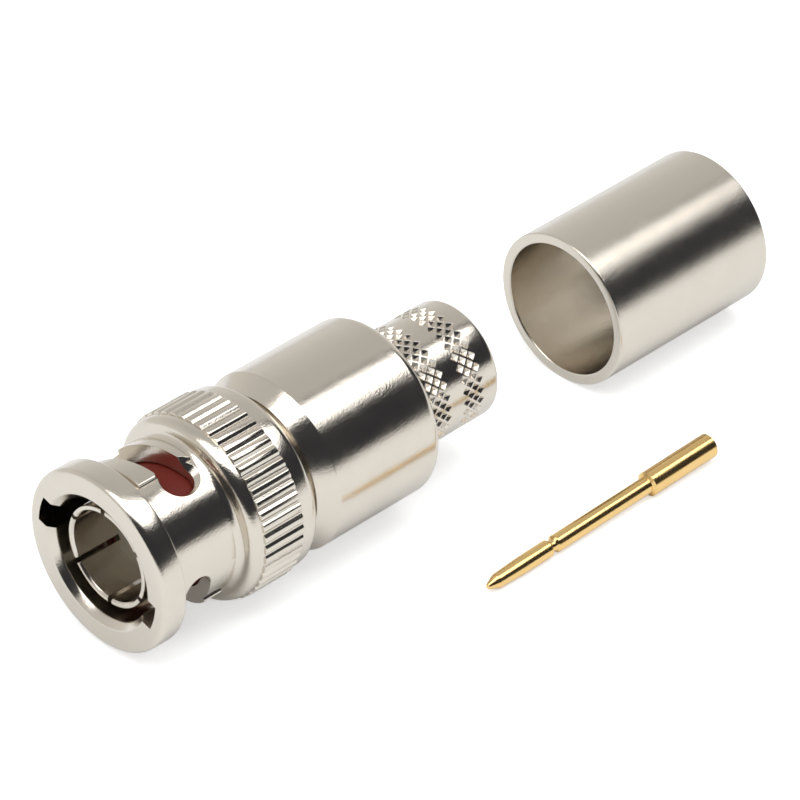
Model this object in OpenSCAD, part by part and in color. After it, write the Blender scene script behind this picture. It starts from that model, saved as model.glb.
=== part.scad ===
// Bayonet-lock coaxial crimp plug, with its loose crimp ferrule and centre contact.
// The plug lies along X: its mating face looks towards -X and its cable end towards +X.
// X = 0 is the front edge of the slotted contact sleeve, on the axis of the plug.
// The plug rests on its knurled grip, and the ferrule and the contact lie on the same surface.

/* [Coupling nut] */
// Diameter of the flange at the nut's mouth
nut_flange_od = 14.5; // [13.6:0.1:15.5]
// Thickness of that flange
nut_flange_w = 2.05; // [1.6:0.05:2.6]
// How far the nut's mouth stands in front of the contact sleeve
nut_overhang = 0.9; // [0.4:0.1:1.6]
// Diameter of the neck that the bayonet slots are cut through
neck_od = 11.9; // [11.6:0.1:12.6]
// Raised height of the cam land in front of each slot
cam_land_h = 0.3; // [0.1:0.05:0.5]
// Turn that the cam land covers
cam_land_turn = 60; // [40:1:70]
// Turn from the end of the cam land to the end of its slot
cam_land_back = 8; // [0:1:12]
// Distance from the flange to the cam land
cam_land_gap = 0.9; // [0.7:0.1:1.1]
// Bore that slides over the mating jack
nut_bore = 9.8; // [9.6:0.05:10.2]
// Depth of the lead-in chamfer at the mouth
lead_in = 0.5; // [0.3:0.05:1]
// Distance from the mouth to the start of the flare behind the neck
neck_end = 7.9; // [7.7:0.1:8.6]
// Radius of that flare
flare_r = 0.55; // [0.4:0.05:0.6]
// Radius at the front of the smooth band that the flare runs into
band_r = 0.7; // [0.5:0.05:0.8]
// Length of the smooth band in front of the knurl
band_lead = 0.35; // [0.2:0.05:0.6]
// Length of the knurl
grip_len = 3.7; // [3:0.1:4.4]
// Diameter over the knurl, on which the plug rests
grip_od = 15.0; // [14.8:0.1:16]
// Height of the knurl above the smooth bands on both sides
grip_proud = 0.2; // [0.1:0.05:0.3]
// Number of knurl grooves
grip_grooves = 50; // [36:1:64]
// Width of one knurl groove
grip_groove_w = 0.42; // [0.3:0.02:0.5]
// Length of the nut behind the retaining ring's groove
nut_lip = 1.6; // [1.3:0.1:2]
// Radius of the nut's rounded rear rim
nut_rear_round = 0.7; // [0.4:0.1:0.9]
// Bore of the cavity that holds the flange, the washers and the ring
cavity_d = 11.9; // [11.7:0.1:12.4]
// Distance from the mouth to the step that rests on the contact's flange
cavity_start = 9.3; // [9.1:0.1:9.8]

/* [Bayonet slots] */
// Width of the slots
slot_w = 2.4; // [2.2:0.05:2.6]
// Angle of the entry groove, from the side towards the top
entry_angle = 16; // [0:1:30]
// Turn of each slot from its entry to its locked end
slot_turn = 96; // [85:1:100]
// Distance from the mouth to the slot's axis at the entry
slot_start = 4.45; // [4.2:0.05:4.7]
// Distance that the slot climbs over its turn
slot_rise = 1.65; // [1.4:0.05:1.8]
// Diameter across the bottoms of the two entry grooves
entry_d = 11.2; // [11.1:0.05:11.3]
// Diameter across the entry grooves where they open through the flange
entry_mouth_d = 12.4; // [12.2:0.1:12.8]
// Depth from the mouth of that wider opening
entry_mouth_len = 1.4; // [0.8:0.1:1.8]

/* [Outer contact] */
// Diameter of the slotted sleeve, which the jack's shell grips
sleeve_od = 8.1; // [7.9:0.05:8.2]
// Wall of the slotted sleeve
sleeve_wall = 0.45; // [0.35:0.05:0.6]
// Length of the slotted sleeve in front of its thicker root
sleeve_len = 3.8; // [3.6:0.1:4]
// Number of spring fingers
fingers = 6; // [4:1:8]
// Angle of the first slit between fingers, from the side towards the top
slit_angle = 27.5; // [0:0.5:60]
// Width of the slits between the fingers
slit_w = 0.42; // [0.3:0.02:0.5]
// Length of the slits
slit_len = 3.9; // [3.6:0.1:4.2]
// Width of the guide land in front of the flange
hub_w = 0.7; // [0.5:0.1:0.9]
// Thickness of the flange inside the nut
collar_w = 1.3; // [1:0.1:1.6]
// Length behind the flange of the shank that is pressed into the body
shank_len = 7.6; // [6.8:0.1:8]

/* [Nut spring] */
// Distance that the nut can be pulled forward
nut_travel = 0.9; // [0.6:0.1:1]
// Height left to the wave washer when the nut is pulled fully forward
wave_flat_h = 0.7; // [0.6:0.05:0.8]
// Thickness of the wave washer's strip
wave_strip = 0.25; // [0.2:0.05:0.3]
// Number of waves
waves = 3; // [3:1:4]
// Thickness of the flat washer
washer_w = 0.5; // [0.4:0.05:0.6]
// Radial width of the flat washer, between the shank and the nut's cavity
washer_reach = 1.31; // [1.2:0.01:1.5]
// Thickness of the retaining ring
ring_w = 0.6; // [0.5:0.05:0.7]
// Depth of the retaining ring's groove in the nut
ring_groove = 0.4; // [0.3:0.05:0.5]
// Radial width of the retaining ring
ring_reach = 1.25; // [1:0.05:1.35]
// Opening between the ends of the retaining ring, in degrees
ring_gap = 34; // [20:1:50]

/* [Body] */
// Diameter of the barrel
barrel_od = 14.3; // [14:0.1:14.8]
// Length of the barrel behind the cone
barrel_len = 10.3; // [9:0.1:13]
// Radius of the barrel's rounded rear edge
barrel_round = 0.8; // [0.5:0.1:1.2]
// Diameter of the cone at its front edge
cone_front_od = 12.2; // [11.8:0.1:12.8]
// Length of the cone
cone_len = 1.4; // [1:0.1:2]
// Gap between the nut's rear rim and the cone's front edge
nut_rear_gap = 0.8; // [0.5:0.1:1.2]
// Clearance round the spigot that reaches into the nut
spigot_clear = 0.35; // [0.25:0.05:0.6]
// Step in the body's bore that stops the shank
body_step = 0.3; // [0.2:0.05:0.4]
// Thickness of the barrel's rear wall, round the narrower stem bore
back_wall = 2; // [1:0.1:3]

/* [Crimp stem] */
// Diameter over the knurl of the stem that the braid goes round
stem_od = 9.5; // [9.3:0.1:9.7]
// Length of the stem
stem_len = 8.3; // [7.6:0.1:10]
// Bore of the stem, for the cable's core
stem_bore = 7.4; // [7.2:0.1:7.6]
// Length of the plain ring between the two knurled bands
band_gap = 1.2; // [0.8:0.1:1.3]
// Length of the plain rim at the stem's end
stem_rim = 1.6; // [1.4:0.05:1.9]
// Rows of knurl pits in each band
pit_rows = 4; // [3:1:4]
// Knurl pits in one row, round the stem
pit_count = 32; // [28:1:34]
// Length of a pit along the axis, corner to corner
pit_w = 0.76; // [0.6:0.02:0.8]
// Depth of the knurl pits
pit_depth = 0.24; // [0.16:0.02:0.3]

/* [Insulators and gasket] */
// Clearance round the centre contact in the insulators' bores
contact_clear = 0.05; // [0.02:0.01:0.1]
// Length of the front insulator
front_insulator_len = 9.0; // [7:0.5:9.5]
// Length of the rear insulator
rear_insulator_len = 3.0; // [2:0.5:5]
// Length of the gasket
gasket_len = 3.7; // [2.2:0.1:3.8]
// Wall of the gasket
gasket_wall = 0.53; // [0.4:0.01:0.6]
// Clearance round the gasket inside the nut
gasket_clear = 0.12; // [0.1:0.02:0.2]

/* [Crimp ferrule] */
// Room between the stem and the ferrule, for the cable's braid
ferrule_room = 0.7; // [0.5:0.05:0.9]
// Wall of the ferrule
ferrule_wall = 0.875; // [0.6:0.025:1]
// Length of the ferrule
ferrule_len = 16.3; // [12:0.1:20]
// Distance from the stem's end to the ferrule as it lies behind the plug
ferrule_gap = 11.3; // [4:0.1:20]
// Sideways place of the ferrule
ferrule_y = -0.15; // [-3:0.05:3]

/* [Centre contact] */
// Diameter of the contact's pin
contact_d = 1.36; // [1.32:0.01:1.4]
// Diameter of the contact at the foot of its pointed tip
contact_tip_d = 1.15; // [1:0.05:1.25]
// Length of the pointed tip
contact_tip_len = 0.9; // [0.6:0.1:1.2]
// Length of the slight taper behind the tip
contact_taper_len = 2.6; // [2:0.1:3]
// Distance from the point to the latching groove
contact_nose = 6.2; // [5.5:0.1:7]
// Length of the crimp barrel
contact_barrel_len = 6.9; // [6.6:0.1:8]
// Wall of the crimp barrel
contact_wall = 0.235; // [0.2:0.005:0.3]
// Whole length of the contact
contact_len = 23.6; // [21:0.1:26]
// Bore of the crimp barrel
contact_well_d = 1.5; // [1.4:0.02:1.6]
// Depth of the crimp barrel's bore
contact_well_len = 5.5; // [4:0.1:6.5]
// Place of the contact's point along the plug
contact_x = 23.2; // [10:0.1:40]
// Sideways place of the contact
contact_y = -15.15; // [-24:0.05:-10]

/* [Hidden] */
$fn = 96;
cut = 1;                                  // overlap of a cutting tool past a face
edge = 0.15;                              // small broken edge on turned pieces
running = 0.08;                           // radial clearance of pieces that turn or slide
seat_clear = 0.03;                        // clearance of a piece in its seat
nickel = [0.80, 0.79, 0.76];
nickel_shade = [0.72, 0.71, 0.68];
gold = [0.86, 0.68, 0.30];
ptfe = [0.95, 0.95, 0.93];
silicone = [0.42, 0.10, 0.07];
steel = [0.62, 0.62, 0.62];

mouth_x = -nut_overhang;
band_x = mouth_x + neck_end + flare_r + band_r;          // front end of the smooth band
grip_x = band_x + band_lead;                             // front end of the knurl
step_x = mouth_x + cavity_start;          // the nut's step, on the front face of the collar
collar_od = cavity_d - 2 * running;
collar_rear_x = step_x + collar_w;
wave_h = wave_flat_h + nut_travel;        // height of the wave washer at rest
wave_x = collar_rear_x;
washer_x = wave_x + wave_h;
ring_x = washer_x + washer_w;
shank_end_x = collar_rear_x + shank_len;
shank_od = cavity_d - 2 * (washer_reach + 3 * running);
root_od = nut_bore - 2 * (gasket_wall + gasket_clear);   // thicker root, which the gasket sits on
hub_od = nut_bore - 2 * running;
hub_x = step_x - hub_w;
core_bore = sleeve_od - 2 * sleeve_wall;
nut_rear_x = ring_x + ring_w + nut_lip;
nut_len = nut_rear_x - mouth_x;
spigot_od = cavity_d - 2 * spigot_clear;
body_bore = shank_od - 2 * body_step;
cone_x = nut_rear_x + nut_rear_gap;
barrel_x = cone_x + cone_len;
barrel_end_x = barrel_x + barrel_len;
stem_end_x = barrel_end_x + stem_len;
spigot_gap = 0.3;                         // clearance between the retaining ring and the spigot
spigot_x = ring_x + ring_w + spigot_gap;
pit_pitch = PI * stem_od / pit_count;     // pits touch corner to corner at this pitch, both ways
band_len = pit_w + (pit_rows - 1) * pit_pitch / 2;
ferrule_bore = stem_od + 2 * ferrule_room;
ferrule_od = ferrule_bore + 2 * ferrule_wall;
floor_z = -grip_od / 2;
contact_bore = contact_d + 2 * contact_clear;
contact_barrel_od = contact_well_d + 2 * contact_wall;
contact_shoulder = contact_len - contact_barrel_len;
contact_front = contact_tip_len + contact_taper_len;     // front end of the full pin, which rests below
contact_back = contact_shoulder + edge;                  // front edge of the crimp barrel, which rests too
contact_tilt = atan((contact_barrel_od - contact_d) / 2 / (contact_back - contact_front));
contact_z = floor_z + contact_d / 2 * cos(contact_tilt) - contact_front * sin(contact_tilt);

// Points of an arc, from angle a to angle b
function arc(cx, cy, r, a, b, n = 6) =
    [for (i = [0:n]) [cx + r * cos(a + (b - a) * i / n), cy + r * sin(a + (b - a) * i / n)]];

// Turns a profile of [x, radius] points about the axis of the plug
module turned(profile) {
    rotate([0, 90, 0]) rotate_extrude() polygon([for (p = profile) [p[1], p[0]]]);
}

// Plain rod or tube along the axis
module rod(x, len, d) {
    translate([x, 0, 0]) rotate([0, 90, 0]) cylinder(d = d, h = len);
}

// Straight slot with round ends, from p to q
module stadium(p, q, w) {
    span = q - p;
    for (end = [p, q]) translate(end) circle(d = w);
    translate((p + q) / 2) rotate(atan2(span[1], span[0])) square([norm(span), w], center = true);
}

// One helical bayonet slot, cut towards the axis in short straight steps
module bayonet_slot(steps = 4) {
    cut_r = (neck_od + nut_bore) / 4;
    turn = slot_turn / steps;
    rise = slot_rise / steps;
    for (i = [0:steps - 1]) {
        mid_x = mouth_x + slot_start + (i + 0.5) * rise;
        half = [rise / 2, cut_r * sin(turn / 2)];
        rotate([entry_angle + (i + 0.5) * turn, 0, 0]) translate([mid_x, neck_od / 2 + cut, 0])
            rotate([90, 0, 0]) linear_extrude(neck_od / 2 + cut - nut_bore / 4)
                stadium(-half, half, slot_w);
    }
}

// Entry groove from the mouth to the start of a slot
module entry_groove() {
    intersection() {
        union() {
            rod(mouth_x - cut, slot_start + cut, entry_d);
            rod(mouth_x - cut, entry_mouth_len + cut, entry_mouth_d);
        }
        rotate([entry_angle, 0, 0]) translate([mouth_x - cut, 0, -slot_w / 2])
            cube([slot_start + cut, entry_mouth_d, slot_w]);
    }
}

// Raised land that carries the cam edge in front of a slot
module cam_land() {
    land_x = mouth_x + nut_flange_w + cam_land_gap;
    rotate([entry_angle + slot_turn - cam_land_back - cam_land_turn, 0, 0]) rotate([0, 90, 0])
        rotate([0, 0, 90]) rotate_extrude(angle = cam_land_turn)
            translate([0, land_x]) square([neck_od / 2 + cam_land_h, slot_start + slot_rise - slot_w / 2]);
}

module nut_outline() {
    r_fl = nut_flange_od / 2;
    r_neck = neck_od / 2;
    r_band = grip_od / 2 - grip_proud;
    rim_r = 0.45;
    neck_fillet = 0.6;
    x_fl = mouth_x + nut_flange_w;
    x_neck = mouth_x + neck_end;
    turned(concat(
        [[mouth_x, 0]],
        arc(mouth_x + rim_r, r_fl - rim_r, rim_r, 180, 90),
        arc(x_fl - edge, r_fl - edge, edge, 90, 0, 2),
        arc(x_fl + neck_fillet, r_neck + neck_fillet, neck_fillet, 180, 270),
        arc(x_neck, r_neck + flare_r, flare_r, 270, 340),
        arc(band_x, r_band - band_r, band_r, 170, 90),
        [[grip_x + grip_len, r_band]],
        arc(nut_rear_x - nut_rear_round, r_band - nut_rear_round, nut_rear_round, 90, 0),
        [[nut_rear_x, 0]]));
}

// Straight-knurled grip
module grip_band() {
    groove_r = grip_od / 2;
    core_d = grip_od - 4 * grip_proud;
    translate([grip_x, 0, 0]) rotate([0, 90, 0]) linear_extrude(grip_len) difference() {
        circle(d = grip_od);
        circle(d = core_d);
        for (i = [0:grip_grooves - 1])
            rotate(i * 360 / grip_grooves) translate([groove_r, 0]) circle(d = grip_groove_w, $fn = 16);
    }
}

module coupling_nut() {
    color(nickel) difference() {
        union() {
            nut_outline();
            grip_band();
            intersection() {
                for (side = [0, 180]) rotate([side, 0, 0]) cam_land();
                rod(mouth_x, neck_end, neck_od + 2 * cam_land_h);
            }
        }
        rod(mouth_x - cut, nut_len, nut_bore);
        rod(step_x, nut_len, cavity_d);
        rod(ring_x, ring_w, cavity_d + 2 * ring_groove);
        turned([[mouth_x - cut, 0], [mouth_x - cut, nut_bore / 2 + lead_in + cut],
                [mouth_x + lead_in, nut_bore / 2], [mouth_x + lead_in, 0]]);
        turned([[nut_rear_x + cut, 0], [nut_rear_x + cut, cavity_d / 2 + edge + cut],
                [nut_rear_x - edge, cavity_d / 2], [nut_rear_x - edge, 0]]);
        for (side = [0, 180]) rotate([side, 0, 0]) {
            bayonet_slot();
            entry_groove();
        }
    }
}

// Split ring that holds the nut's spring in
module retaining_ring() {
    outer = cavity_d / 2 + ring_groove - seat_clear;
    color(steel) rotate([90, 0, 0]) translate([ring_x, 0, 0]) rotate([0, 90, 0])
        rotate_extrude(angle = 360 - ring_gap)
            translate([outer - ring_reach, 0]) square([ring_reach, ring_w]);
}

module flat_washer() {
    color(steel) difference() {
        rod(washer_x, washer_w, cavity_d - 4 * running);
        rod(washer_x - cut, washer_w + 2 * cut, shank_od + 2 * running);
    }
}

// Wavy strip between the collar and the flat washer
module wave_washer() {
    stations = 60;
    inner = shank_od / 2 + running;
    outer = cavity_d / 2 - 3 * running;
    swing = (wave_h - wave_strip) / 2 - seat_clear;
    function wave(i) = wave_x + wave_h / 2 + swing * cos(waves * 360 * i / stations);
    function corner(i, r, dx) = [wave(i) + dx, r * cos(360 * i / stations), r * sin(360 * i / stations)];
    points = [for (i = [0:stations - 1]) for (c = [[inner, -1], [outer, -1], [outer, 1], [inner, 1]])
        corner(i, c[0], c[1] * wave_strip / 2)];
    faces = [for (i = [0:stations - 1]) for (k = [0:3])
        let (n = (i + 1) % stations) [4 * i + k, 4 * n + k, 4 * n + (k + 1) % 4, 4 * i + (k + 1) % 4]];
    color(steel) polyhedron(points, faces, convexity = 6);
}

// Slotted sleeve, flange and shank, turned as one piece
module outer_contact() {
    color(nickel) difference() {
        union() {
            rod(0, sleeve_len, sleeve_od);
            rod(sleeve_len, hub_x - sleeve_len, root_od);
            rod(hub_x, hub_w, hub_od);
            rod(step_x, collar_w, collar_od);
            rod(collar_rear_x, shank_len, shank_od);
        }
        rod(-cut, shank_end_x + 2 * cut, core_bore);
        turned([[-cut, 0], [-cut, core_bore / 2 + edge + cut], [edge, core_bore / 2], [edge, 0]]);
        for (i = [0:fingers - 1])
            rotate([slit_angle + i * 360 / fingers, 0, 0])
                translate([-cut, 0, -slit_w / 2]) cube([slit_len + cut, sleeve_od, slit_w]);
    }
}

module gasket() {
    gasket_x = hub_x - gasket_len;
    color(silicone) difference() {
        rod(gasket_x, gasket_len, nut_bore - 2 * gasket_clear);
        rod(gasket_x - cut, gasket_len + 2 * cut, root_od);
    }
}

module front_insulator() {
    color(ptfe) difference() {
        rod(shank_end_x - front_insulator_len, front_insulator_len, core_bore);
        rod(shank_end_x - front_insulator_len - cut, front_insulator_len + 2 * cut, contact_bore);
    }
}

module rear_insulator() {
    color(ptfe) difference() {
        rod(shank_end_x, rear_insulator_len, body_bore);
        rod(shank_end_x - cut, rear_insulator_len + 2 * cut, contact_barrel_od + 2 * seat_clear);
    }
}

// One band of diamond knurl: staggered rows of square pyramid pits, with its front end at x
module knurl_band(x) {
    reach = pit_depth + edge;
    for (row = [0:pit_rows - 1], k = [0:pit_count - 1])
        rotate([(k + row % 2 / 2) * 360 / pit_count, 0, 0])
            translate([x + pit_w / 2 + row * pit_pitch / 2, 0, stem_od / 2 - pit_depth])
                cylinder(d1 = 0, d2 = pit_w * reach / pit_depth, h = reach, $fn = 4);
}

module body() {
    stem_round = 0.4;
    r_barrel = barrel_od / 2;
    r_stem = stem_od / 2;
    rear_band_x = stem_end_x - stem_rim - band_len;
    front_band_x = rear_band_x - band_gap - band_len;
    color(nickel) difference() {
        turned(concat(
            [[spigot_x, 0], [spigot_x, spigot_od / 2], [cone_x, spigot_od / 2]],
            [[cone_x, cone_front_od / 2], [barrel_x, r_barrel]],
            arc(barrel_end_x - barrel_round, r_barrel - barrel_round, barrel_round, 90, 0),
            [[barrel_end_x, r_stem]],
            arc(stem_end_x - stem_round, r_stem - stem_round, stem_round, 90, 0, 4),
            [[stem_end_x, 0]]));
        rod(spigot_x - cut, shank_end_x - spigot_x + cut, shank_od);
        rod(shank_end_x - cut, barrel_end_x - back_wall - shank_end_x + cut, body_bore);
        rod(shank_end_x - cut, stem_end_x - shank_end_x + 2 * cut, stem_bore);
        knurl_band(front_band_x);
        knurl_band(rear_band_x);
    }
}

module crimp_ferrule() {
    r_out = ferrule_od / 2;
    r_in = ferrule_bore / 2;
    color(nickel_shade) translate([stem_end_x + ferrule_gap, ferrule_y, floor_z + r_out])
        turned([[0, r_in + edge], [0, r_out - edge], [edge, r_out], [ferrule_len - edge, r_out],
                [ferrule_len, r_out - edge], [ferrule_len, r_in + edge], [ferrule_len - edge, r_in],
                [edge, r_in]]);
}

// Lies on the front of its crimp barrel and on its pin
module centre_contact() {
    r_pin = contact_d / 2;
    r_tip = contact_tip_d / 2;
    r_barrel = contact_barrel_od / 2;
    groove_w = 0.35;
    groove_ramp = 0.2;
    groove_r = r_pin - groove_ramp;
    point_r = 0.2;
    color(gold) translate([contact_x, contact_y, contact_z]) rotate([0, -contact_tilt, 0]) difference() {
        turned([[0, 0], [0, point_r], [contact_tip_len, r_tip], [contact_front, r_pin],
                [contact_nose, r_pin], [contact_nose + groove_ramp, groove_r],
                [contact_nose + groove_ramp + groove_w, groove_r],
                [contact_nose + 2 * groove_ramp + groove_w, r_pin], [contact_shoulder, r_pin],
                [contact_back, r_barrel], [contact_len - edge, r_barrel],
                [contact_len, r_barrel - edge], [contact_len, 0]]);
        rod(contact_len - contact_well_len, contact_well_len + cut, contact_well_d);
    }
}

coupling_nut();
retaining_ring();
flat_washer();
wave_washer();
outer_contact();
gasket();
front_insulator();
rear_insulator();
body();
crimp_ferrule();
centre_contact();
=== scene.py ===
# Bayonet coaxial plug, laid out for crimping: the plug, its crimp sleeve and its centre pin.
# Pieces are modelled in millimetres and made metres when they are finished. X runs along the plug.
import math

import bmesh
import bpy
from mathutils import Matrix, Vector


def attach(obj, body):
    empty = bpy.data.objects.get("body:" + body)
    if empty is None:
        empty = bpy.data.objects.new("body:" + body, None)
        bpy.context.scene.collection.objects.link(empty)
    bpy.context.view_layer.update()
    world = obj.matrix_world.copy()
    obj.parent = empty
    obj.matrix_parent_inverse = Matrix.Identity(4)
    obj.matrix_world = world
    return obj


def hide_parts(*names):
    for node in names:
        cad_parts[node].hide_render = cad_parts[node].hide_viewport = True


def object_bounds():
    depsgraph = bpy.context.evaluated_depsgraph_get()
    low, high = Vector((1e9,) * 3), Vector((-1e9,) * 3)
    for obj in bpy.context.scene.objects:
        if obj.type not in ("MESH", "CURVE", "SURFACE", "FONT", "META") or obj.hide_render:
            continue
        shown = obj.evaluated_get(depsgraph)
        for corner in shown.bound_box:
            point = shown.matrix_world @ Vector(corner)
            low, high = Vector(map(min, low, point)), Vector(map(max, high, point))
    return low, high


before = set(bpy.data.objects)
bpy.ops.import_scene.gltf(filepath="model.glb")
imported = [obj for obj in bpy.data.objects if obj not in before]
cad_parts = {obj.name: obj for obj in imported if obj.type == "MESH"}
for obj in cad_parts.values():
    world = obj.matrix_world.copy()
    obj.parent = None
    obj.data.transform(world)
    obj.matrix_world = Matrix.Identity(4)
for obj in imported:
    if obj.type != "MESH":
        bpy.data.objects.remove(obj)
cadLow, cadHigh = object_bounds()
scene = bpy.context.scene
mm = 0.001
turnSteps = 240  # facets round a turned piece
print("frame loaded")


def roundCorner(bm, vert, radius, segments):
    ways = [e.other_vert(vert).co - vert.co for e in vert.link_edges]
    turn = math.pi - ways[0].angle(ways[1])
    bmesh.ops.bevel(bm, geom=[vert], offset=radius * math.tan(turn / 2), offset_type="OFFSET",
                    segments=segments, profile=0.5, affect="VERTICES", material=-1)


def outline(corners, place, segments=5):
    # one face from (a, b) or (a, b, rounding) corners, put in space by place(a, b)
    bm = bmesh.new()
    verts = [bm.verts.new(place(c[0], c[1])) for c in corners]
    bm.faces.new(verts)
    for vert, corner in zip(verts, corners):
        if len(corner) > 2:
            roundCorner(bm, vert, corner[2], segments)
    return bm


def swing(bm, degrees):
    # turns a whole shape about the axis of the plug
    bmesh.ops.rotate(bm, verts=bm.verts[:], cent=(0, 0, 0),
                     matrix=Matrix.Rotation(math.radians(degrees), 3, "X"))


def turned(corners, angle=360, start=0, steps=turnSteps, segments=5):
    # spins a closed outline of (x, radius) corners about the axis of the plug
    bm = outline(corners, lambda x, r: (x, 0, r), segments)
    full = angle == 360
    if full:
        bmesh.ops.delete(bm, geom=bm.faces[:], context="FACES_ONLY")
        onAxis = [e for e in bm.edges if all(v.co.z < 1e-6 for v in e.verts)]
        bmesh.ops.delete(bm, geom=onAxis, context="EDGES")
    swing(bm, start)
    bmesh.ops.spin(bm, geom=bm.verts[:] + bm.edges[:] + bm.faces[:], cent=(0, 0, 0), axis=(1, 0, 0),
                   dvec=(0, 0, 0), angle=math.radians(angle), steps=steps, use_merge=full)
    return tidied(bm)


def prism(corners, place, push):
    # pushes an outline along a straight line
    bm = outline(corners, place)
    pushed = bmesh.ops.extrude_face_region(bm, geom=bm.faces[:])["geom"]
    bmesh.ops.translate(bm, verts=[g for g in pushed if isinstance(g, bmesh.types.BMVert)], vec=push)
    return tidied(bm)


def tidied(bm):
    bmesh.ops.remove_doubles(bm, verts=bm.verts[:], dist=1e-4)
    bmesh.ops.dissolve_degenerate(bm, edges=bm.edges[:], dist=1e-5)
    bmesh.ops.recalc_face_normals(bm, faces=bm.faces[:])
    return bm


def repeated(bm, count):
    # even copies of a shape about the axis, in one mesh
    first = bm.verts[:] + bm.edges[:] + bm.faces[:]
    for i in range(1, count):
        copy = bmesh.ops.duplicate(bm, geom=first)["geom"]
        bmesh.ops.rotate(bm, verts=[g for g in copy if isinstance(g, bmesh.types.BMVert)], cent=(0, 0, 0),
                         matrix=Matrix.Rotation(math.radians(i * 360 / count), 3, "X"))
    return bm


def asObject(name, bm):
    mesh = bpy.data.meshes.new(name)
    bm.to_mesh(mesh)
    bm.free()
    obj = bpy.data.objects.new(name, mesh)
    scene.collection.objects.link(obj)
    return obj


def carve(obj, bm, operation="DIFFERENCE"):
    # cuts a shape out of a piece, or joins it on
    tool = asObject("tool", bm)
    step = obj.modifiers.new("carve", "BOOLEAN")
    step.object, step.operation, step.solver = tool, operation, "EXACT"
    depsgraph = bpy.context.evaluated_depsgraph_get()
    carved = bpy.data.meshes.new_from_object(obj.evaluated_get(depsgraph), depsgraph=depsgraph)
    obj.modifiers.clear()
    plain, obj.data, toolMesh = obj.data, carved, tool.data
    bpy.data.objects.remove(tool)
    bpy.data.meshes.remove(plain)
    bpy.data.meshes.remove(toolMesh)


def finished(obj, material, body, nodes, sharpAngle=32):
    obj.data.transform(Matrix.Scale(mm, 4))
    obj.data.materials.clear()
    obj.data.materials.append(material)
    obj.data.shade_smooth()
    obj.data.set_sharp_from_angle(angle=math.radians(sharpAngle))
    obj.modifiers.new("even shading", "WEIGHTED_NORMAL").keep_sharp = True
    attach(obj, body)
    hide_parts(*nodes)
    print("made", obj.name, len(obj.data.polygons), "faces")


def newMaterial(name):
    material = bpy.data.materials.new(name)
    material.use_nodes = True
    tree = material.node_tree
    return material, tree, tree.nodes["Principled BSDF"]


def addNode(tree, kind, inputs=None, **settings):
    node = tree.nodes.new("ShaderNode" + kind)
    for key, value in settings.items():
        setattr(node, key, value)
    for key, value in (inputs or {}).items():
        if isinstance(value, bpy.types.NodeSocket):
            tree.links.new(value, node.inputs[key])
        else:
            node.inputs[key].default_value = value
    return node


def grainOf(tree, place, size, detail=3.0, roughness=0.6):
    # noise whose features are about this many millimetres across
    return addNode(tree, "TexNoise", {"Vector": place, "Scale": 1 / (size * mm), "Detail": detail,
                                      "Roughness": roughness}).outputs["Fac"]


def mixColours(tree, factor, first, second):
    # each of the two is a colour or another node's output
    mix = addNode(tree, "Mix", {"Factor": factor}, data_type="RGBA")
    for socket, colour in ((mix.inputs[6], first), (mix.inputs[7], second)):
        if isinstance(colour, bpy.types.NodeSocket):
            tree.links.new(colour, socket)
        else:
            socket.default_value = (*colour, 1)
    return mix.outputs[2]


def metalFinish(name, look):
    material, tree, shader = newMaterial(name)
    place = addNode(tree, "TexCoord").outputs["Object"]
    grain = grainOf(tree, place, look["grainSize"])
    wave = grainOf(tree, place, look["waveSize"], 2.0)
    stain = grainOf(tree, place, look["stainSize"], 4.0, 0.7)
    tree.links.new(mixColours(tree, stain, look["colour"], look["stain"]), shader.inputs["Base Color"])
    rough = addNode(tree, "MapRange", {"Value": stain, "From Min": 0.3, "From Max": 0.7,
                                       "To Min": look["smooth"], "To Max": look["rough"]})
    tree.links.new(rough.outputs["Result"], shader.inputs["Roughness"])
    shader.inputs["Metallic"].default_value = 1
    eased = addNode(tree, "Bevel", {"Radius": look["edge"] * mm}, samples=4)
    swell = addNode(tree, "Bump", {"Height": wave, "Distance": look["waveHeight"] * mm, "Strength": 1.0,
                                   "Normal": eased.outputs["Normal"]})
    bump = addNode(tree, "Bump", {"Height": grain, "Distance": look["grainHeight"] * mm, "Strength": 1.0,
                                  "Normal": swell.outputs["Normal"]})
    tree.links.new(bump.outputs["Normal"], shader.inputs["Normal"])
    return material


brightNickel = metalFinish("brightNickel", {
    "colour": (0.74, 0.685, 0.605), "stain": (0.70, 0.645, 0.56),
    "smooth": 0.13, "rough": 0.19,
    "grainSize": 0.16, "grainHeight": 0.008,
    "waveSize": 1.6, "waveHeight": 0.006,
    "stainSize": 2.2, "edge": 0.05,
})
satinNickel = metalFinish("satinNickel", {
    "colour": (0.74, 0.685, 0.605), "stain": (0.70, 0.645, 0.56),
    "smooth": 0.16, "rough": 0.24,
    "grainSize": 0.11, "grainHeight": 0.013,
    "waveSize": 1.4, "waveHeight": 0.008,
    "stainSize": 2.0, "edge": 0.05,
})
goldPlate = metalFinish("goldPlate", {
    "colour": (0.92, 0.66, 0.29), "stain": (0.87, 0.58, 0.23),
    "smooth": 0.14, "rough": 0.22,
    "grainSize": 0.12, "grainHeight": 0.002,
    "waveSize": 1.2, "waveHeight": 0.003,
    "stainSize": 1.5, "edge": 0.04,
})
springSteel = metalFinish("springSteel", {
    "colour": (0.50, 0.48, 0.45), "stain": (0.42, 0.40, 0.37),
    "smooth": 0.25, "rough": 0.38,
    "grainSize": 0.10, "grainHeight": 0.003,
    "waveSize": 0.8, "waveHeight": 0.003,
    "stainSize": 1.0, "edge": 0.04,
})


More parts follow.
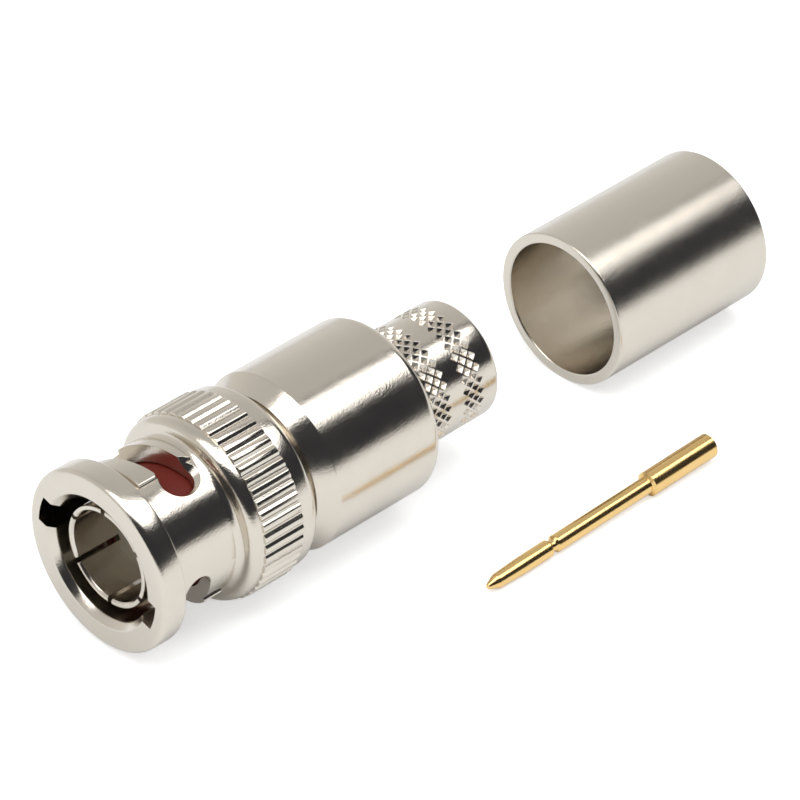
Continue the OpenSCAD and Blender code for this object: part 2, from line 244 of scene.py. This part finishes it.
def softFinish(name, look):
    material, tree, shader = newMaterial(name)
    place = addNode(tree, "TexCoord").outputs["Object"]
    grain = grainOf(tree, place, look["grainSize"])
    stain = grainOf(tree, place, look["stainSize"], 3.0)
    tree.links.new(mixColours(tree, stain, look["colour"], look["stain"]), shader.inputs["Base Color"])
    rough = addNode(tree, "MapRange", {"Value": grain, "To Min": look["smooth"], "To Max": look["rough"]})
    tree.links.new(rough.outputs["Result"], shader.inputs["Roughness"])
    bump = addNode(tree, "Bump", {"Height": grain, "Distance": look["grainHeight"] * mm, "Strength": 1.0})
    tree.links.new(bump.outputs["Normal"], shader.inputs["Normal"])
    shader.inputs["Subsurface Weight"].default_value = look["bleed"]
    shader.inputs["Specular IOR Level"].default_value = look["shine"]
    shader.inputs["Subsurface Radius"].default_value = (0.0012, 0.0010, 0.0009)
    shader.inputs["Subsurface Scale"].default_value = 1.0
    return material


redSilicone = softFinish("redSilicone", {
    "colour": (0.150, 0.016, 0.010), "stain": (0.110, 0.012, 0.008),
    "smooth": 0.35, "rough": 0.55,
    "grainSize": 0.15, "grainHeight": 0.004, "stainSize": 1.5,
    "bleed": 0.0, "shine": 0.15,
})
whiteFluoropolymer = softFinish("whiteFluoropolymer", {
    "colour": (0.86, 0.86, 0.83), "stain": (0.82, 0.82, 0.79),
    "smooth": 0.35, "rough": 0.50,
    "grainSize": 0.12, "grainHeight": 0.003, "stainSize": 1.5,
    "bleed": 0.3, "shine": 0.5,
})
print("finishes made")


nut = {
    "mouth": -0.9, "rear": 14.0,
    "flangeRadius": 7.25, "flangeBack": 1.15, "flangeRim": 0.45, "flangeBackRound": 0.15,
    "neckRadius": 5.95, "neckFillet": 0.6,
    "shoulderFoot": 7.478, "shoulderTop": 7.623, "footRound": 0.55, "topRound": 0.7,
    "bandRadius": 7.3, "rearRound": 0.7, "rearLip": 0.15, "rearLipRound": 0.04,
    "gripFront": 8.6, "gripBack": 12.3, "gripRadius": 7.5, "gripEnds": 0.12,
    "grooves": 50, "ridgeHalf": 0.462, "ridgeDrop": 0.014, "ridgeRound": 0.25, "grooveHalf": 0.27,
    "grooveDrop": 0.034, "valleyHalf": 0.05, "valleyRise": 0.01, "valleyRound": 0.02,
    "grooveOver": 0.4, "grooveClear": 0.486,
    "bore": 4.9, "leadIn": 0.5, "leadInRounds": (0.25, 0.2), "step": 8.4, "cavity": 5.95,
    "ringFront": 11.8, "ringBack": 12.4, "ringRadius": 6.35,
    "slotWidth": 2.4, "slotStart": 4.45, "slotRise": 1.65, "slotTurn": 96, "slotMiddle": 5.4,
    "slotFloor": 3.2, "slotCeiling": 7.2, "slotSteps": 48,
    "entryAngle": 16, "entryRadius": 5.6, "entryMouthRadius": 6.2, "entryMouth": 1.4, "entryOver": 1,
    "entryBlockPlace": (1, 4), "entryBlockSize": (8, 7),
    "landRadius": 6.25, "landFoot": 5.5, "landFront": 2.05, "landBack": 6.95,
    "landTurn": 60, "landShort": 8, "landRound": 0.2, "landSteps": 40,
    "lockRadius": 1.65, "lockDepth": 0.45, "lockInset": 0.02,
}


def nutBlank():
    n = nut
    return turned([
        (n["mouth"], n["flangeRadius"], n["flangeRim"]),
        (n["flangeBack"], n["flangeRadius"], n["flangeBackRound"]),
        (n["flangeBack"], n["neckRadius"], n["neckFillet"]),
        (n["shoulderFoot"], n["neckRadius"], n["footRound"]),
        (n["shoulderTop"], n["bandRadius"], n["topRound"]),
        (n["gripFront"], n["bandRadius"]),
        (n["gripFront"], n["gripRadius"], n["gripEnds"]),
        (n["gripBack"], n["gripRadius"], n["gripEnds"]),
        (n["gripBack"], n["bandRadius"]),
        (n["rear"], n["bandRadius"], n["rearRound"]),
        (n["rear"], n["cavity"] + n["rearLip"], n["rearLipRound"]),
        (n["rear"] - n["rearLip"], n["cavity"], n["rearLipRound"]),
        (n["ringBack"], n["cavity"]),
        (n["ringBack"], n["ringRadius"]),
        (n["ringFront"], n["ringRadius"]),
        (n["ringFront"], n["cavity"]),
        (n["step"], n["cavity"]),
        (n["step"], n["bore"]),
        (n["mouth"] + n["leadIn"], n["bore"], n["leadInRounds"][0]),
        (n["mouth"], n["bore"] + n["leadIn"], n["leadInRounds"][1]),
    ])


def gripGroove():
    # leaves round-topped ridges with narrow valleys, whose floor is just above the band
    n = nut
    top, clear = n["gripRadius"] - n["ridgeDrop"], n["gripRadius"] + n["grooveClear"]
    side = n["gripRadius"] - n["grooveDrop"]
    valley = n["bandRadius"] + n["valleyRise"]
    return prism([(-n["ridgeHalf"], top), (-n["grooveHalf"], side, n["ridgeRound"]),
                  (-n["valleyHalf"], valley, n["valleyRound"]), (n["valleyHalf"], valley, n["valleyRound"]),
                  (n["grooveHalf"], side, n["ridgeRound"]), (n["ridgeHalf"], top),
                  (n["ridgeHalf"], clear), (-n["ridgeHalf"], clear)],
                 lambda y, z: (n["gripFront"] - n["grooveOver"], y, z),
                 (n["gripBack"] - n["gripFront"] + 2 * n["grooveOver"], 0, 0))


def slotSweep(side):
    n = nut
    lead = math.atan(n["slotRise"] / (math.radians(n["slotTurn"]) * n["slotMiddle"]))
    halfWidth = n["slotWidth"] / 2 / math.cos(lead)
    front, back = n["mouth"] + n["slotStart"] - halfWidth, n["mouth"] + n["slotStart"] + halfWidth
    bm = outline([(front, n["slotFloor"]), (back, n["slotFloor"]), (back, n["slotCeiling"]),
                  (front, n["slotCeiling"])], lambda x, r: (x, r, 0))
    swing(bm, n["entryAngle"] + side)
    bmesh.ops.spin(bm, geom=bm.verts[:] + bm.edges[:] + bm.faces[:], cent=(0, 0, 0), axis=(1, 0, 0),
                   dvec=(n["slotRise"] / n["slotSteps"], 0, 0), angle=math.radians(n["slotTurn"]),
                   steps=n["slotSteps"])
    return tidied(bm)


def slotHole(side, share, height, inner, outer, depth):
    # round cut across a slot: share 0 at the entry, 1 where the stud locks
    n = nut
    centre = Matrix.Translation((n["mouth"] + n["slotStart"] + share * n["slotRise"], 0, height))
    turn = Matrix.Rotation(math.radians(n["entryAngle"] + side - 90 + share * n["slotTurn"]), 4, "X")
    bm = bmesh.new()
    bmesh.ops.create_cone(bm, cap_ends=True, segments=64, radius1=inner, radius2=outer, depth=depth,
                          matrix=turn @ centre)
    return tidied(bm)


def slotEnd(side, share):
    floor, ceiling, radius = nut["slotFloor"], nut["slotCeiling"], nut["slotWidth"] / 2
    return slotHole(side, share, (floor + ceiling) / 2, radius, radius, ceiling - floor)


def lockMouth(side):
    # eased mouth of the round end where the stud locks
    radius = nut["slotWidth"] / 2
    return slotHole(side, 1, nut["neckRadius"], radius - nut["lockInset"], 2 * nut["lockRadius"] - radius,
                    2 * nut["lockDepth"])


def entryGroove(side):
    # straight way in for the stud, wider at the mouth
    n = nut
    blank = asObject("entry", turned([
        (n["mouth"] - n["entryOver"], 0), (n["mouth"] - n["entryOver"], n["entryMouthRadius"]),
        (n["mouth"] + n["entryMouth"], n["entryMouthRadius"]),
        (n["mouth"] + n["entryMouth"], n["entryRadius"]),
        (n["mouth"] + n["slotStart"], n["entryRadius"]), (n["mouth"] + n["slotStart"], 0)]))
    bm = bmesh.new()
    turn = Matrix.Rotation(math.radians(n["entryAngle"] + side), 4, "X")
    block = Matrix.Translation((*n["entryBlockPlace"], 0)) @ \
        Matrix.Diagonal((*n["entryBlockSize"], n["slotWidth"], 1))
    bmesh.ops.create_cube(bm, size=1, matrix=turn @ block)
    carve(blank, bm, "INTERSECT")
    cutter = bmesh.new()
    cutter.from_mesh(blank.data)
    bpy.data.objects.remove(blank)
    return cutter


def camLand(side):
    # raised band round the slot, with eased rims
    n = nut
    start = n["entryAngle"] + n["slotTurn"] - n["landShort"] - n["landTurn"] + side - 90
    bm = turned([(n["landFront"], n["landFoot"]), (n["landBack"], n["landFoot"]),
                 (n["landBack"], n["landRadius"]), (n["landFront"], n["landRadius"])],
                angle=n["landTurn"], start=start, steps=n["landSteps"])
    middle = (n["landFoot"] + n["landRadius"]) / 2
    rim = [e for e in bm.edges if e.calc_face_angle(0) > 1
           and min(math.hypot(v.co.y, v.co.z) for v in e.verts) > middle]
    bmesh.ops.bevel(bm, geom=rim, offset=n["landRound"], offset_type="OFFSET", segments=4, profile=0.5,
                    affect="EDGES", material=-1, clamp_overlap=True)
    return bm


couplingNut = asObject("couplingNut", nutBlank())
for side in (0, 180):
    carve(couplingNut, camLand(side), "UNION")
carve(couplingNut, repeated(gripGroove(), nut["grooves"]))
for side in (0, 180):
    carve(couplingNut, slotSweep(side))
    carve(couplingNut, slotEnd(side, 0))
    carve(couplingNut, slotEnd(side, 1))
    carve(couplingNut, lockMouth(side))
    carve(couplingNut, entryGroove(side))
finished(couplingNut, brightNickel, "nut", ["coupling_nut"])


contactSleeve = {
    "radius": 4.05, "bore": 3.6, "lipRound": 0.10, "mouthChamfer": 0.15, "mouthRound": 0.05,
    "root": 3.8, "rootRadius": 4.25, "rootRound": 0.05,
    "guide": 7.7, "guideRadius": 4.82, "guideRound": 0.08,
    "collar": 8.4, "collarRadius": 5.87, "collarBack": 9.7, "collarRound": 0.1,
    "shankRadius": 4.4, "end": 17.3,
    "slits": 6, "slitAngle": 27.5, "slitWidth": 0.42, "slitLength": 3.9,
    "slitOver": 1, "slitDepths": (0.5, 6),
}


def sleeveBlank():
    c = contactSleeve
    return turned([
        (0, c["radius"], c["lipRound"]), (c["root"], c["radius"]),
        (c["root"], c["rootRadius"], c["rootRound"]),
        (c["guide"], c["rootRadius"]), (c["guide"], c["guideRadius"], c["guideRound"]),
        (c["collar"], c["guideRadius"]), (c["collar"], c["collarRadius"], c["collarRound"]),
        (c["collarBack"], c["collarRadius"], c["collarRound"]), (c["collarBack"], c["shankRadius"]),
        (c["end"], c["shankRadius"]), (c["end"], c["bore"]),
        (c["mouthChamfer"], c["bore"], c["mouthRound"]),
        (0, c["bore"] + c["mouthChamfer"], c["mouthRound"])])


def sleeveSlit():
    c = contactSleeve
    low, high = c["slitDepths"]
    front, back = -c["slitOver"], c["slitLength"]
    return prism([(front, low), (back, low), (back, high), (front, high)],
                 lambda x, r: (x, r, -c["slitWidth"] / 2), (0, 0, c["slitWidth"]))


outerContact = asObject("outerContact", sleeveBlank())
slits = sleeveSlit()
swing(slits, contactSleeve["slitAngle"])
carve(outerContact, repeated(slits, contactSleeve["slits"]))
finished(outerContact, brightNickel, "plug", ["outer_contact"])


gasketRing = {"front": 4.0, "back": 7.7, "outer": 4.78, "inner": 4.25, "lip": 0.18, "backRound": 0.08,
              "innerRound": 0.12}
g = gasketRing
frontGasket = asObject("frontGasket", turned([
    (g["front"], g["outer"], g["lip"]), (g["back"], g["outer"], g["backRound"]), (g["back"], g["inner"]),
    (g["front"], g["inner"], g["innerRound"])]))
finished(frontGasket, redSilicone, "plug", ["gasket"])


plugBody = {
    "spigot": 12.7, "spigotRadius": 5.6, "coneFront": 14.8, "coneRadius": 6.1, "coneRounds": (0.08, 0.12),
    "barrelFront": 16.2, "barrelRadius": 7.15, "barrelEnd": 26.5, "barrelRound": 0.8,
    "stemRadius": 4.75, "stemEnd": 34.8, "stemRound": 0.4, "stemFillet": 0.1, "boreRound": 0.12,
    "shankBore": 4.4, "shankEnd": 17.3, "midBore": 4.1, "backWall": 24.5, "cableBore": 3.7,
    "pitBands": (27.68, 31.04), "pitRows": 4, "pits": 32, "pitPitch": 0.9327, "pitWidth": 0.76,
    "pitDepth": 0.24, "pitOver": 0.15, "pitPoint": 0.004,
}


def bodyBlank():
    b = plugBody
    return turned([
        (b["spigot"], b["spigotRadius"]), (b["coneFront"], b["spigotRadius"]),
        (b["coneFront"], b["coneRadius"], b["coneRounds"][0]),
        (b["barrelFront"], b["barrelRadius"], b["coneRounds"][1]),
        (b["barrelEnd"], b["barrelRadius"], b["barrelRound"]),
        (b["barrelEnd"], b["stemRadius"], b["stemFillet"]),
        (b["stemEnd"], b["stemRadius"], b["stemRound"]), (b["stemEnd"], b["cableBore"], b["boreRound"]),
        (b["backWall"], b["cableBore"]), (b["backWall"], b["midBore"]),
        (b["shankEnd"], b["midBore"]), (b["shankEnd"], b["shankBore"]),
        (b["spigot"], b["shankBore"])], segments=7)


def knurlPits():
    # four-sided pits in rows, each row half a pitch round from the last
    b = plugBody
    reach = b["pitDepth"] + b["pitOver"]
    bm = bmesh.new()
    for band in b["pitBands"]:
        for row in range(b["pitRows"]):
            x = band + b["pitWidth"] / 2 + row * b["pitPitch"] / 2
            for k in range(b["pits"]):
                turn = Matrix.Rotation(math.radians((k + row % 2 / 2) * 360 / b["pits"]), 4, "X")
                centre = Matrix.Translation((x, 0, b["stemRadius"] - b["pitDepth"] + reach / 2))
                bmesh.ops.create_cone(bm, cap_ends=True, segments=4, radius1=b["pitPoint"],
                                      radius2=b["pitWidth"] / 2 * reach / b["pitDepth"], depth=reach,
                                      matrix=turn @ centre)
    bmesh.ops.recalc_face_normals(bm, faces=bm.faces[:])
    return bm


barrel = asObject("barrel", bodyBlank())
carve(barrel, knurlPits())
finished(barrel, brightNickel, "plug", ["body"])


crimpSleeve = {"front": 46.1, "back": 62.4, "outer": 6.325, "inner": 5.45, "edge": 0.15,
               "axisY": -0.15, "axisZ": -1.175}
s = crimpSleeve
sleeve = turned([(s["front"], s["outer"], s["edge"]), (s["back"], s["outer"], s["edge"]),
                 (s["back"], s["inner"], s["edge"]), (s["front"], s["inner"], s["edge"])])
bmesh.ops.translate(sleeve, verts=sleeve.verts[:], vec=(0, s["axisY"], s["axisZ"]))
finished(asObject("crimpFerrule", sleeve), satinNickel, "plug", ["crimp_ferrule"])


centrePin = {
    "place": (23.2, -15.15, -6.900), "tilt": 1.309, "steps": 96,
    "point": [(0, 0), (0, 0.2, 0.08), (0.9, 0.575, 0.4), (3.5, 0.68, 1.0)],
    "latchGroove": [(6.2, 0.68), (6.4, 0.48, 0.03), (6.75, 0.48, 0.03), (6.95, 0.68)],
    "crimpBarrel": [(16.7, 0.68), (16.85, 0.985), (23.45, 0.985), (23.6, 0.835, 0.05)],
    "crimpWell": [(23.6, 0.75, 0.03), (18.1, 0.75), (18.1, 0)],
}
pinParts = ("point", "latchGroove", "crimpBarrel", "crimpWell")
pin = turned([corner for part in pinParts for corner in centrePin[part]], steps=centrePin["steps"])
bmesh.ops.rotate(pin, verts=pin.verts[:], cent=(0, 0, 0),
                 matrix=Matrix.Rotation(-math.radians(centrePin["tilt"]), 3, "Y"))
bmesh.ops.translate(pin, verts=pin.verts[:], vec=centrePin["place"])
finished(asObject("centreContact", pin), goldPlate, "plug", ["centre_contact"])


keptParts = {"front_insulator": whiteFluoropolymer, "rear_insulator": whiteFluoropolymer,
             "retaining_ring": springSteel, "flat_washer": springSteel, "wave_washer": springSteel}
for name, material in keptParts.items():
    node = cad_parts[name]
    for place in node.material_slots:
        place.link = "OBJECT"
        place.material = material
print("kept parts dressed")


studio = {
    "floorSize": 4.0, "floorColour": (0.785, 0.80, 0.815), "floorGlow": 0.52, "mirrorGlow": 0.10,
    "lampHeight": 0.5, "lampSize": (1.085, 0.32), "lampTurn": -19, "lampPlace": (-0.07, -0.07),
    "lampPower": 2.9,
    "skyLow": (0.80, 0.79, 0.765), "skyHigh": (0.55, 0.545, 0.53), "skyTop": 0.9,
    "darkSide": (0.032, 0.032, 0.038), "darkFrom": (0.08, -0.04), "darkAbove": (0.02, 0.08), "fill": 0.55,
    "cameraPlace": (-179.8, -214.1, 218.7), "cameraAim": (27.90, -1.23, 0.18), "lens": 225, "sensor": 36,
}


def mirroredRays(tree, path):
    # 1 for what metal or glass shows
    return addNode(tree, "Math", {0: path.outputs["Is Glossy Ray"], 1: path.outputs["Is Transmission Ray"]},
                   operation="MAXIMUM").outputs[0]


def makeFloor():
    bm = bmesh.new()
    bmesh.ops.create_grid(bm, x_segments=1, y_segments=1, size=studio["floorSize"] / 2)
    bmesh.ops.translate(bm, verts=bm.verts[:], vec=(0, 0, cadLow.z))
    floor = asObject("floor", bm)
    material, tree, shader = newMaterial("paleFloor")
    tree.nodes.remove(shader)
    path = addNode(tree, "LightPath")
    dim = addNode(tree, "Math", {0: mirroredRays(tree, path), 1: studio["mirrorGlow"]}, operation="MULTIPLY")
    glow = addNode(tree, "Math", {0: path.outputs["Is Camera Ray"], 1: studio["floorGlow"],
                                  2: dim.outputs[0]}, operation="MULTIPLY_ADD")
    paint = addNode(tree, "BsdfDiffuse", {"Color": (*studio["floorColour"], 1)})
    light = addNode(tree, "Emission", {"Strength": glow.outputs[0]})
    both = addNode(tree, "AddShader", {0: paint.outputs[0], 1: light.outputs[0]})
    tree.links.new(both.outputs[0], tree.nodes["Material Output"].inputs["Surface"])
    floor.data.materials.append(material)


def makeWorld():
    # a pale sweep behind the object, a dark room on the near side, white where it is seen directly
    world = bpy.data.worlds.new("studio")
    scene.world = world
    world.use_nodes = True
    tree = world.node_tree
    tree.nodes.clear()
    way = addNode(tree, "SeparateXYZ", {0: addNode(tree, "TexCoord").outputs["Generated"]})
    height = addNode(tree, "MapRange", {"Value": way.outputs["Z"], "From Min": 0.0,
                                        "From Max": studio["skyTop"]})
    sky = mixColours(tree, height.outputs["Result"], studio["skyLow"], studio["skyHigh"])
    nearSide, above = [
        addNode(tree, "MapRange", {"Value": way.outputs[axis], "From Min": studio[edge][0],
                                   "From Max": studio[edge][1]}, interpolation_type="SMOOTHSTEP")
        for axis, edge in (("Y", "darkFrom"), ("Z", "darkAbove"))]
    dark = addNode(tree, "Math", {0: nearSide.outputs["Result"], 1: above.outputs["Result"]},
                   operation="MULTIPLY")
    room = mixColours(tree, dark.outputs[0], sky, studio["darkSide"])
    path = addNode(tree, "LightPath")
    fill = mixColours(tree, mirroredRays(tree, path), (studio["fill"],) * 3, room)
    seen = mixColours(tree, path.outputs["Is Camera Ray"], fill, (1, 1, 1))
    background = addNode(tree, "Background", {"Color": seen, "Strength": 1.0})
    out = tree.nodes.new("ShaderNodeOutputWorld")
    tree.links.new(background.outputs[0], out.inputs["Surface"])


def makeLamp():
    light = bpy.data.lights.new("softbox", "AREA")
    light.shape = "RECTANGLE"
    light.size, light.size_y = studio["lampSize"]
    light.energy = studio["lampPower"]
    lamp = bpy.data.objects.new("softbox", light)
    lamp.location = (*studio["lampPlace"], studio["lampHeight"])
    lamp.rotation_euler = (0, 0, math.radians(studio["lampTurn"]))
    lamp.visible_camera = False
    scene.collection.objects.link(lamp)


def makeCamera():
    camera = bpy.data.objects.new("camera", bpy.data.cameras.new("camera"))
    place, aim = Vector(studio["cameraPlace"]) * mm, Vector(studio["cameraAim"]) * mm
    camera.location = place
    camera.rotation_euler = (aim - place).to_track_quat("-Z", "Y").to_euler()
    camera.data.lens = studio["lens"]
    camera.data.sensor_width = studio["sensor"]
    camera.data.clip_start, camera.data.clip_end = 0.02, 20
    scene.collection.objects.link(camera)
    scene.camera = camera


makeFloor()
makeWorld()
makeLamp()
makeCamera()
scene.view_settings.view_transform = "Standard"
print("studio made")
